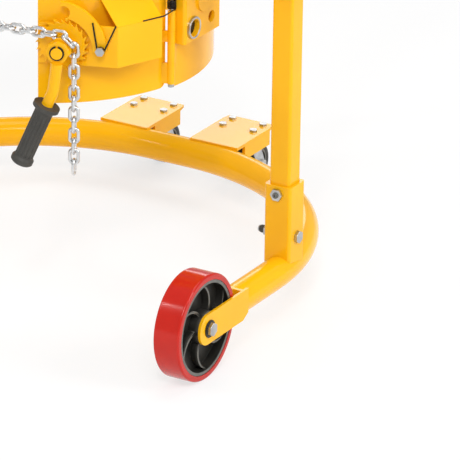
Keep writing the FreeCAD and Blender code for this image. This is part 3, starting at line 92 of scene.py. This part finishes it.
# Seen by the lens or in a reflection, the floor is mostly plain white, and it keeps a light shadow.
floor_ray = floor_tree.nodes.new("ShaderNodeLightPath")
floor_seen = floor_tree.nodes.new("ShaderNodeMath")
floor_seen.operation = "MAXIMUM"
floor_tree.links.new(floor_ray.outputs["Is Camera Ray"], floor_seen.inputs[0])
floor_tree.links.new(floor_ray.outputs["Is Glossy Ray"], floor_seen.inputs[1])
floor_through = floor_tree.nodes.new("ShaderNodeMath")
floor_through.operation = "MAXIMUM"
floor_tree.links.new(floor_seen.outputs["Value"], floor_through.inputs[0])
floor_tree.links.new(floor_ray.outputs["Is Transmission Ray"], floor_through.inputs[1])
floor_share = floor_tree.nodes.new("ShaderNodeMapRange")
floor_share.inputs["To Max"].default_value = 0.7
floor_tree.links.new(floor_through.outputs["Value"], floor_share.inputs["Value"])
floor_white = floor_tree.nodes.new("ShaderNodeEmission")
floor_white.inputs["Color"].default_value = (1, 1, 1, 1)
floor_white.inputs["Strength"].default_value = 1
floor_mix = floor_tree.nodes.new("ShaderNodeMixShader")
floor_tree.links.new(floor_share.outputs["Result"], floor_mix.inputs["Fac"])
floor_tree.links.new(floor_shader.outputs["BSDF"], floor_mix.inputs[1])
floor_tree.links.new(floor_white.outputs["Emission"], floor_mix.inputs[2])
floor_tree.links.new(floor_mix.outputs["Shader"], floor_end.inputs["Surface"])
floor.data.materials.append(floor_paint)


def soft_lamp(name, place, target, width, height, power):
    """An area lamp that faces a point."""
    data = bpy.data.lights.new(name, "AREA")
    data.shape = "RECTANGLE"
    data.size = width
    data.size_y = height
    data.energy = power
    lamp = bpy.data.objects.new(name, data)
    bpy.context.scene.collection.objects.link(lamp)
    lamp.location = place
    lamp.rotation_euler = (Vector(target) - Vector(place)).to_track_quat("-Z", "Y").to_euler()


soft_lamp("key_lamp", (3.2, -4.6, 5.0), (0, 0, 0.4), width=2.4, height=2.4, power=130)
soft_lamp("spark_lamp", (2.4, -4.4, 4.8), (0.2, 0, 0.3), width=0.5, height=0.5, power=58)
soft_lamp("side_lamp", (5.0, 0.5, 3.0), (0.2, 0, 0.3), width=1.8, height=2.4, power=110)
soft_lamp("top_lamp", (0.3, 0.8, 5.0), (0, 0, 0.2), width=2.6, height=2.6, power=55)
soft_lamp("tread_strip", (-3.0, -4.0, 4.2), (0.4, -0.3, 0.1), width=0.22, height=1.6, power=45)
soft_lamp("back_panel", (-3.2, 5.0, 2.6), (0.1, 0, 0.3), width=3.0, height=1.2, power=34)

# Camera: a long lens high on the front left of the trolley, with the photograph's slight roll.
# Its place is measured from the middle of the cradle, which the record's mount gives.
cradle_y = frame["record"]["mounts"][0]["pos_m"][1]
camera_data = bpy.data.cameras.new("photo_camera")
camera_data.lens = 367.8
camera_data.sensor_width = 36
camera_data.clip_end = 200
camera = bpy.data.objects.new("photo_camera", camera_data)
bpy.context.scene.collection.objects.link(camera)
bpy.context.scene.camera = camera
camera_place = Vector((4.3253, -6.8418 + cradle_y, 3.4323))
camera_target = Vector((0.37232, 0.02536 + cradle_y, 0.150))
ahead = (camera_target - camera_place).normalized()
rightward = ahead.cross(Vector((0, 0, 1))).normalized()
upward = rightward.cross(ahead)
roll = math.radians(0.85)
rolled_right = rightward * math.cos(roll) + upward * math.sin(roll)
rolled_up = upward * math.cos(roll) - rightward * math.sin(roll)
camera.matrix_world = Matrix((
    (rolled_right.x, rolled_up.x, -ahead.x, camera_place.x),
    (rolled_right.y, rolled_up.y, -ahead.y, camera_place.y),
    (rolled_right.z, rolled_up.z, -ahead.z, camera_place.z),
    (0, 0, 0, 1)))

# Base hoop: the horseshoe of round steel tube that carries everything, bent in one length.
# It is powder coated in glossy yellow: fine orange peel, and slightly deeper colour in patches.
nodes = frame["nodes"]


def finish(name, tones, patch, rough, peel, depth, metal=0.0, shine=0.5, worn=None, stretch=(1, 1, 1)):
    """A surface whose colour and gloss wander between two values, with a fine relief and worn edges."""
    material = bpy.data.materials.new(name)
    material.use_nodes = True
    tree = material.node_tree
    shader = tree.nodes["Principled BSDF"]
    shader.inputs["Metallic"].default_value = metal
    shader.inputs["Specular IOR Level"].default_value = shine
    where = tree.nodes.new("ShaderNodeTexCoord")
    turn = tree.nodes.new("ShaderNodeMapping")
    turn.inputs["Scale"].default_value = stretch
    tree.links.new(where.outputs["Object"], turn.inputs["Vector"])
    clouds = tree.nodes.new("ShaderNodeTexNoise")
    clouds.inputs["Scale"].default_value = patch
    clouds.inputs["Detail"].default_value = 5
    tree.links.new(turn.outputs["Vector"], clouds.inputs["Vector"])
    tone = tree.nodes.new("ShaderNodeValToRGB")
    tone.color_ramp.elements[0].position = 0.3
    tone.color_ramp.elements[1].position = 0.7
    tone.color_ramp.elements[0].color = (*tones[0], 1)
    tone.color_ramp.elements[1].color = (*tones[1], 1)
    tree.links.new(clouds.outputs["Fac"], tone.inputs["Fac"])
    colour = tone.outputs["Color"]
    if worn:
        shape = tree.nodes.new("ShaderNodeNewGeometry")
        edges = tree.nodes.new("ShaderNodeMapRange")
        edges.inputs["From Min"].default_value = 0.51
        edges.inputs["From Max"].default_value = 0.57
        tree.links.new(shape.outputs["Pointiness"], edges.inputs["Value"])
        wear = tree.nodes.new("ShaderNodeMix")
        wear.data_type = "RGBA"
        wear.inputs["B"].default_value = (*worn, 1)
        tree.links.new(edges.outputs["Result"], wear.inputs["Factor"])
        tree.links.new(colour, wear.inputs["A"])
        colour = wear.outputs["Result"]
    tree.links.new(colour, shader.inputs["Base Color"])
    gloss = tree.nodes.new("ShaderNodeMapRange")
    gloss.inputs["To Min"].default_value = rough[0]
    gloss.inputs["To Max"].default_value = rough[1]
    tree.links.new(clouds.outputs["Fac"], gloss.inputs["Value"])
    tree.links.new(gloss.outputs["Result"], shader.inputs["Roughness"])
    skin = tree.nodes.new("ShaderNodeTexNoise")
    skin.inputs["Scale"].default_value = peel
    skin.inputs["Detail"].default_value = 3
    tree.links.new(turn.outputs["Vector"], skin.inputs["Vector"])
    relief = tree.nodes.new("ShaderNodeBump")
    relief.inputs["Strength"].default_value = 0.25
    relief.inputs["Distance"].default_value = depth
    tree.links.new(skin.outputs["Fac"], relief.inputs["Height"])
    tree.links.new(relief.outputs["Normal"], shader.inputs["Normal"])
    return material


def dress(node, material):
    """A node that keeps its own shape and only gets its finish."""
    nodes[node].data.materials.clear()
    nodes[node].data.materials.append(material)


yellow_coat = finish("yellow_powder_coat", ((0.91, 0.45, 0.004), (0.95, 0.49, 0.007)), patch=7,
                     rough=(0.10, 0.17), peel=900, depth=0.00004, shine=0.22)
dress("base_hoop", yellow_coat)

# Wheel forks: U-shaped yokes of folded plate, welded over the tube's ends and coated with the frame.
# Their cut edges are eased, so that the coat holds on them.
SIDES = {"left": 1, "right": -1}
bodies = frame["record"]["behaviour"]["bodies"]
body_of = {node: body for body, members in bodies.items() for node in members}


def both(*names):
    """The left and right node of each name."""
    return [f"{side}_{name}" for name in names for side in SIDES]


def eased(node, material, ease=0.0008, smooth=35, steps=2, rounding=0, swell=0.0, cut=None):
    """A copy of a node with its sharp edges eased, as paint or plating leaves them."""
    bpy.ops.object.select_all(action="DESELECT")
    copy = nodes[node].copy()
    copy.data = nodes[node].data.copy()
    copy.name = node + "_finish"
    copy.parent = None
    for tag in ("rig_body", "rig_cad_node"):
        del copy[tag]
    bpy.context.scene.collection.objects.link(copy)
    bpy.context.view_layer.objects.active = copy
    copy.select_set(True)
    copy.data.materials.clear()
    copy.data.materials.append(material)
    bpy.ops.object.mode_set(mode="EDIT")
    bpy.ops.mesh.select_all(action="SELECT")
    bpy.ops.mesh.remove_doubles(threshold=0.00001)
    if rounding:
        pair_angle = math.radians(60)
        bpy.ops.mesh.tris_convert_to_quads(face_threshold=pair_angle, shape_threshold=pair_angle)
    else:
        bpy.ops.mesh.dissolve_limited(angle_limit=math.radians(0.5))
    if swell:
        bpy.ops.transform.shrink_fatten(value=swell)
    if cut:
        bpy.ops.mesh.select_all(action="SELECT")
        bpy.ops.mesh.bisect(plane_co=cut[0], plane_no=cut[1], use_fill=True, clear_outer=True)
    bpy.ops.object.mode_set(mode="OBJECT")
    if rounding:
        soften = copy.modifiers.new("soften", "SUBSURF")
        soften.levels = rounding
        soften.render_levels = rounding
        bpy.ops.object.modifier_apply(modifier="soften")
    elif ease:
        ease_edges = copy.modifiers.new("ease", "BEVEL")
        ease_edges.width = ease
        ease_edges.segments = steps
        ease_edges.limit_method = "ANGLE"
        ease_edges.angle_limit = math.radians(smooth)
        bpy.ops.object.modifier_apply(modifier="ease")
    bpy.ops.object.shade_smooth_by_angle(angle=math.radians(180 if rounding else smooth))
    if ease and not rounding:
        level = copy.modifiers.new("level", "WEIGHTED_NORMAL")
        level.keep_sharp = True
        bpy.ops.object.modifier_apply(modifier="level")
    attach(copy, body_of[node])
    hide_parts(node)


for fork in both("wheel_fork"):
    eased(fork, yellow_coat, ease=0.0012, steps=3)

# Front wheels: a red polyurethane tread cast on a ribbed iron core that is painted black.
# The rim's face is left machined, and shows as a grey ring between tread and core.
red_tread = finish("red_tread", ((0.48, 0.012, 0.006), (0.56, 0.019, 0.010)), patch=14,
                   rough=(0.10, 0.17), peel=500, depth=0.00006, shine=0.3)
black_iron = finish("black_iron", ((0.012, 0.012, 0.010), (0.03, 0.028, 0.024)), patch=40,
                    rough=(0.32, 0.5), peel=700, depth=0.0002, shine=0.4, worn=(0.30, 0.29, 0.25))
machined = finish("machined_rim", ((0.13, 0.135, 0.12), (0.19, 0.19, 0.175)), patch=90,
                  rough=(0.35, 0.5), peel=900, depth=0.00006, metal=0.6, stretch=(8, 1, 1))


def pick_ends(piece, way, both_ends=False):
    """Selects the flat faces that look one way, or both ways along it, and stays in edit mode."""
    straight = 0.99
    bpy.ops.object.mode_set(mode="EDIT")
    bpy.ops.mesh.select_mode(type="FACE")
    bpy.ops.mesh.select_all(action="DESELECT")
    bpy.ops.object.mode_set(mode="OBJECT")
    for face in piece.data.polygons:
        facing = face.normal.dot(way)
        face.select = (abs(facing) if both_ends else facing) > straight
    bpy.ops.object.mode_set(mode="EDIT")


def ring_piece(name, middle, axis, outer, inner, thick, material, body, ease=0.0004, sides=72):
    """A flat ring: a disc whose two faces are inset and bridged through, with eased rims."""
    bpy.ops.object.select_all(action="DESELECT")
    way = Vector(axis)
    turn = Vector((0, 0, 1)).rotation_difference(way).to_euler()
    bpy.ops.mesh.primitive_cylinder_add(vertices=sides, radius=outer, depth=thick, location=middle,
                                        rotation=turn)
    piece = bpy.context.object
    piece.name = name
    bpy.ops.object.transform_apply(location=True, rotation=True, scale=True)
    pick_ends(piece, way, both_ends=True)
    bpy.ops.mesh.inset(thickness=outer - inner)
    bpy.ops.mesh.bridge_edge_loops()
    bpy.ops.mesh.select_all(action="SELECT")
    bpy.ops.mesh.normals_make_consistent(inside=False)
    bpy.ops.object.mode_set(mode="OBJECT")
    rims = piece.modifiers.new("rims", "BEVEL")
    rims.width = ease
    rims.segments = 2
    rims.limit_method = "ANGLE"
    rims.angle_limit = math.radians(40)
    bpy.ops.object.modifier_apply(modifier="rims")
    bpy.ops.object.shade_smooth_by_angle(angle=math.radians(35))
    piece.data.materials.append(material)
    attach(piece, body)
    return piece


def twin(piece, name, change, body):
    """A copy of a finished piece with its own mesh, moved or turned by a matrix."""
    copy = piece.copy()
    copy.data = piece.data.copy()
    copy.data.transform(change)
    copy.name = name
    bpy.context.scene.collection.objects.link(copy)
    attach(copy, body)


rim_sink = 0.0018
ring_places = []
for side, sign in SIDES.items():
    eased(f"{side}_wheel_tyre", red_tread, ease=0.0006, smooth=30)
    eased(f"{side}_wheel_core", black_iron, ease=0.0012, steps=3)
    dress(f"{side}_wheel_bearing", black_iron)
    low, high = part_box(f"{side}_wheel_tyre")
    rim_reach = (high.x - low.x) / 2 - rim_sink
    for end, way in (("out", sign), ("in", -sign)):
        ring_at = (low + high) / 2 + Vector((way * rim_reach, 0, 0))
        ring_places.append((f"{side}_rim_ring_{end}", ring_at, f"{side}_front_wheel"))
first_name, first_at, first_wheel = ring_places[0]
rim_ring = ring_piece(first_name, first_at, axis=(1, 0, 0), outer=0.0877, inner=0.0818, thick=0.0016,
                      material=machined, body=first_wheel)
for ring_name, ring_at, wheel in ring_places[1:]:
    twin(rim_ring, ring_name, Matrix.Translation(ring_at - first_at), wheel)

# Axles: zinc plated hexagon bolts through fork and wheel, held by a nut on the inner side.
# Each head seats on a black washer that is a little wider than the hexagon.
zinc = finish("zinc_plate", ((0.40, 0.405, 0.41), (0.60, 0.605, 0.60)), patch=60,
              rough=(0.24, 0.4), peel=900, depth=0.00005, metal=1.0)
black_plate = finish("black_washer", ((0.010, 0.010, 0.010), (0.02, 0.019, 0.018)), patch=60,
                     rough=(0.3, 0.45), peel=900, depth=0.00005, shine=0.3)
for part in both("wheel_axle"):
    eased(part, zinc, ease=0.0007)
axle_forward = 0.280
axle_height = 0.099
washer_lift = 0.00112
fork_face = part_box("left_wheel_fork")[1].x
washer_at = Vector((fork_face + washer_lift, cradle_y - axle_forward, axle_height))
washer = ring_piece("left_axle_washer", washer_at, axis=(1, 0, 0), outer=0.0162, inner=0.0064, thick=0.0022,
                    material=black_plate, body="frame")
twin(washer, "right_axle_washer", Matrix.Translation((-2 * washer_at.x, 0, 0)), "frame")

# Posts and sockets: square steel tube in saddle-cut sockets that are welded on the hoop.
# The corners of the tube are drawn round, and all of it is coated with the frame.
for part in ("post_sockets", *both("post")):
    eased(part, yellow_coat)

# Pivot brackets: thick plates with a sleeve for the trunnion, bolted to the posts' inner sides.
# The lower front corner of each plate is cut off at a slant before it is coated.
slant_run = 0.074
slant_way = (0, -0.511, -0.8595)
for part in both("pivot_bracket"):
    low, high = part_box(part)
    slant_start = Vector((low.x, low.y + slant_run, low.z))
    eased(part, yellow_coat, cut=(slant_start, slant_way))

# Bolts of the posts, pivots and push handle: zinc plated hexagons with chamfered heads.
# The low socket bolts' inner ends are covered by domed black caps, so that nothing catches on them.
eased("frame_bolts", zinc, ease=0.0006)
black_rubber = finish("black_rubber", ((0.050, 0.048, 0.043), (0.07, 0.067, 0.06)), patch=50,
                      rough=(0.45, 0.6), peel=600, depth=0.0002, shine=0.3)
cap_radius = 0.0074
cap_sleeve = 0.006
cap_rim = 0.002
rim_flare = 1.25
cap_seat = 0.0066
low_bolt_height = 0.160
low_bolt_back = 0.042
bolt_reach = 0.02
bolt_points = [vertex.co for vertex in nodes["frame_bolts"].data.vertices]
low_bolt_points = [point for point in bolt_points if abs(point.z - low_bolt_height) < bolt_reach]
tail_end = min(point.x for point in low_bolt_points if point.x > 0)
cap_at = Vector((tail_end + cap_seat, cradle_y + low_bolt_back, low_bolt_height))
bpy.ops.object.select_all(action="DESELECT")
bpy.ops.mesh.primitive_uv_sphere_add(segments=32, ring_count=16, radius=cap_radius, location=(0, 0, 0))
cap = bpy.context.object
cap.name = "left_bolt_cap"
bpy.ops.object.mode_set(mode="EDIT")
bpy.ops.mesh.select_all(action="SELECT")
bpy.ops.mesh.bisect(plane_co=(0, 0, 0), plane_no=(1, 0, 0), use_fill=True, clear_outer=True)
pick_ends(cap, Vector((1, 0, 0)))
bpy.ops.mesh.extrude_region_move(TRANSFORM_OT_translate={"value": (cap_sleeve, 0, 0)})
bpy.ops.mesh.extrude_region_move(TRANSFORM_OT_translate={"value": (cap_rim, 0, 0)})
bpy.ops.transform.resize(value=(1, rim_flare, rim_flare))
bpy.ops.mesh.select_all(action="SELECT")
bpy.ops.mesh.normals_make_consistent(inside=False)
bpy.ops.object.mode_set(mode="OBJECT")
cap.location = cap_at
bpy.ops.object.transform_apply(location=True, rotation=True, scale=True)
bpy.ops.object.shade_smooth_by_angle(angle=math.radians(40))
cap.data.materials.append(black_rubber)
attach(cap, "frame")
# The right cap is the left one, turned half round about the upright line midway between them.
midway = Matrix.Translation((0, cap_at.y, 0))
half_turn = midway @ Matrix.Rotation(math.pi, 4, "Z") @ midway.inverted()
twin(cap, "right_bolt_cap", half_turn, "frame")

# Upper socket bolts: each shows the drilled end of its stud in the middle of the hexagon.
# The stud is turned steel, a little darker than the plated nut round it.
stud_lift = 0.001
high_bolt_height = 0.246
stud_front = min(point.y for point in bolt_points if abs(point.z - high_bolt_height) < bolt_reach)
low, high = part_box("left_post")
stud_at = Vector(((low.x + high.x) / 2, stud_front - stud_lift, high_bolt_height))
stud = ring_piece("left_stud_end", stud_at, axis=(0, 1, 0), outer=0.0056, inner=0.0020, thick=0.0034,
                  material=machined, body="frame", ease=0.0006, sides=32)
twin(stud, "right_stud_end", Matrix.Translation((-2 * stud_at.x, 0, 0)), "frame")

# Push handle: a bow of round tube pushed into the tops of the posts and bolted there.
# Moulded rubber grips are pressed on the two ends of its crossbar.
dress("push_handle", yellow_coat)
eased("push_grips", black_rubber)

# Casters: folded brackets welded behind the hoop, and swivel casters bolted up under them.
# Heads and yokes are zinc plated pressings, and the wheels are black rubber on black hubs.
eased("caster_brackets", yellow_coat, ease=0.0012, steps=3)
eased("caster_bolts", zinc, steps=3)
for part in both("caster_head", "caster_yoke", "caster_axle"):
    eased(part, zinc, ease=0.0006)
for part in both("caster_tyre"):
    eased(part, black_rubber, ease=0.0006, smooth=30)
for part in both("caster_hub"):
    eased(part, black_iron, ease=0.0006)

# Holder: a half-round saddle of rolled plate, with folded cheeks welded to its sides for the trunnions.
# Two wings of the same plate hang on hinges in front, and everything is coated as one.
for part in ("saddle_shell", *both("cheek", "wing")):
    eased(part, yellow_coat, ease=0.0009, smooth=40)

# Trunnions, hinge pins and the tilt stop's ring: turned steel, zinc plated and left bare.
# The peg in the stop is a coated cup; the bottom of its bored end is painted near black as painted shade
# deep in the hollow.
# One dark finish: the blued wire of the springs and the snap ring, and the painted shade at the cup's
# bottom.
dark_wire_and_painted_shade = finish("dark_wire_and_painted_shade", ((0.010, 0.008, 0.006), (0.02, 0.017, 0.014)), patch=80,
                   rough=(0.3, 0.45), peel=900, depth=0.00005, shine=0.25)
for part in ("tilt_stop_tube", *both("trunnion_shaft", "hinge_pin")):
    eased(part, zinc)
cup_play = 0.0002
cup_sink = 0.001
cup_wall = 0.0012
cup_depth = 0.0095
cup_step = 0.0016
low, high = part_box("tilt_stop_peg")
peg_middle = (low + high) / 2
peg_radius = (high.y - low.y) / 2
cup_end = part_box("tilt_stop_tube")[1].x - cup_sink
bpy.ops.object.select_all(action="DESELECT")
bpy.ops.mesh.primitive_cylinder_add(vertices=64, radius=peg_radius - cup_play, depth=cup_end - low.x,
                                    location=((low.x + cup_end) / 2, peg_middle.y, peg_middle.z),
                                    rotation=(0, math.pi / 2, 0))
cup = bpy.context.object
cup.name = "tilt_stop_cup"
bpy.ops.object.transform_apply(location=True, rotation=True, scale=True)
pick_ends(cup, Vector((1, 0, 0)))
bpy.ops.mesh.inset(thickness=cup_wall)
bpy.ops.mesh.extrude_region_move(TRANSFORM_OT_translate={"value": (-cup_depth, 0, 0)})
bpy.ops.mesh.inset(thickness=cup_step)
bpy.ops.mesh.select_all(action="SELECT")
bpy.ops.mesh.normals_make_consistent(inside=False)
bpy.ops.object.mode_set(mode="OBJECT")
cup.data.materials.append(yellow_coat)
cup.data.materials.append(dark_wire_and_painted_shade)
# The faces at the bottom of the bore get the dark finish as painted shade; the walls keep the coat.
for face in cup.data.polygons:
    painted_shade_bottom = face.normal.x > 0.99 and face.center.x < cup_end - cup_depth / 2
    face.material_index = 1 if painted_shade_bottom else 0
bpy.ops.object.shade_smooth_by_angle(angle=math.radians(35))
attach(cup, body_of["tilt_stop_peg"])
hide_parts("tilt_stop_peg")

# Springs: blued round wire, coiled round the hinge pins and round the pawl's bolt.
# The left hinge spring's long leg lies over the hood, and the pawl's spring ends in two straight legs.
for part in (*both("hinge_spring"), "pawl_spring"):
    eased(part, dark_wire_and_painted_shade, ease=0, smooth=60, swell=0.0002)

# Ratchet: bracket and hood of bent plate, the toothed wheel, claw and shaft cut from plate and bar.
# All of it is coated with the wing; only the bolt, the ring and the springs are bare.
for part in ("ratchet_bracket", "bracket_hood", "ratchet_shaft", "chain_wheel"):
    eased(part, yellow_coat, ease=0.0009, steps=3)
eased("ratchet_wheel", yellow_coat, ease=0.0005)
eased("pawl", yellow_coat, ease=0.0012, steps=3)
eased("pawl_bolt", zinc, ease=0.0006)
eased("snap_ring", dark_wire_and_painted_shade, ease=0, swell=0.0008)

# Chain: welded links of zinc plated round wire, laid flat and on edge by turns over the chain wheel.
# One run crosses in front to its anchor on the right wing, and the loose tail hangs down.
bright_zinc = finish("bright_zinc", ((0.62, 0.63, 0.64), (0.80, 0.81, 0.81)), patch=60,
                     rough=(0.24, 0.4), peel=900, depth=0.00005, metal=1.0)
for part in ("chain_tail", "chain_front"):
    eased(part, bright_zinc, rounding=1, swell=0.0006)
eased("chain_anchor", zinc)

# Hand lever: a hexagonal hub plate and a bent tube, welded together and coated with the clamp.
# A fluted rubber grip with a guard and a foot is pushed on its end.
eased("lever", yellow_coat, ease=0.0009, steps=3)
eased("lever_grip", black_rubber, ease=0.0006)
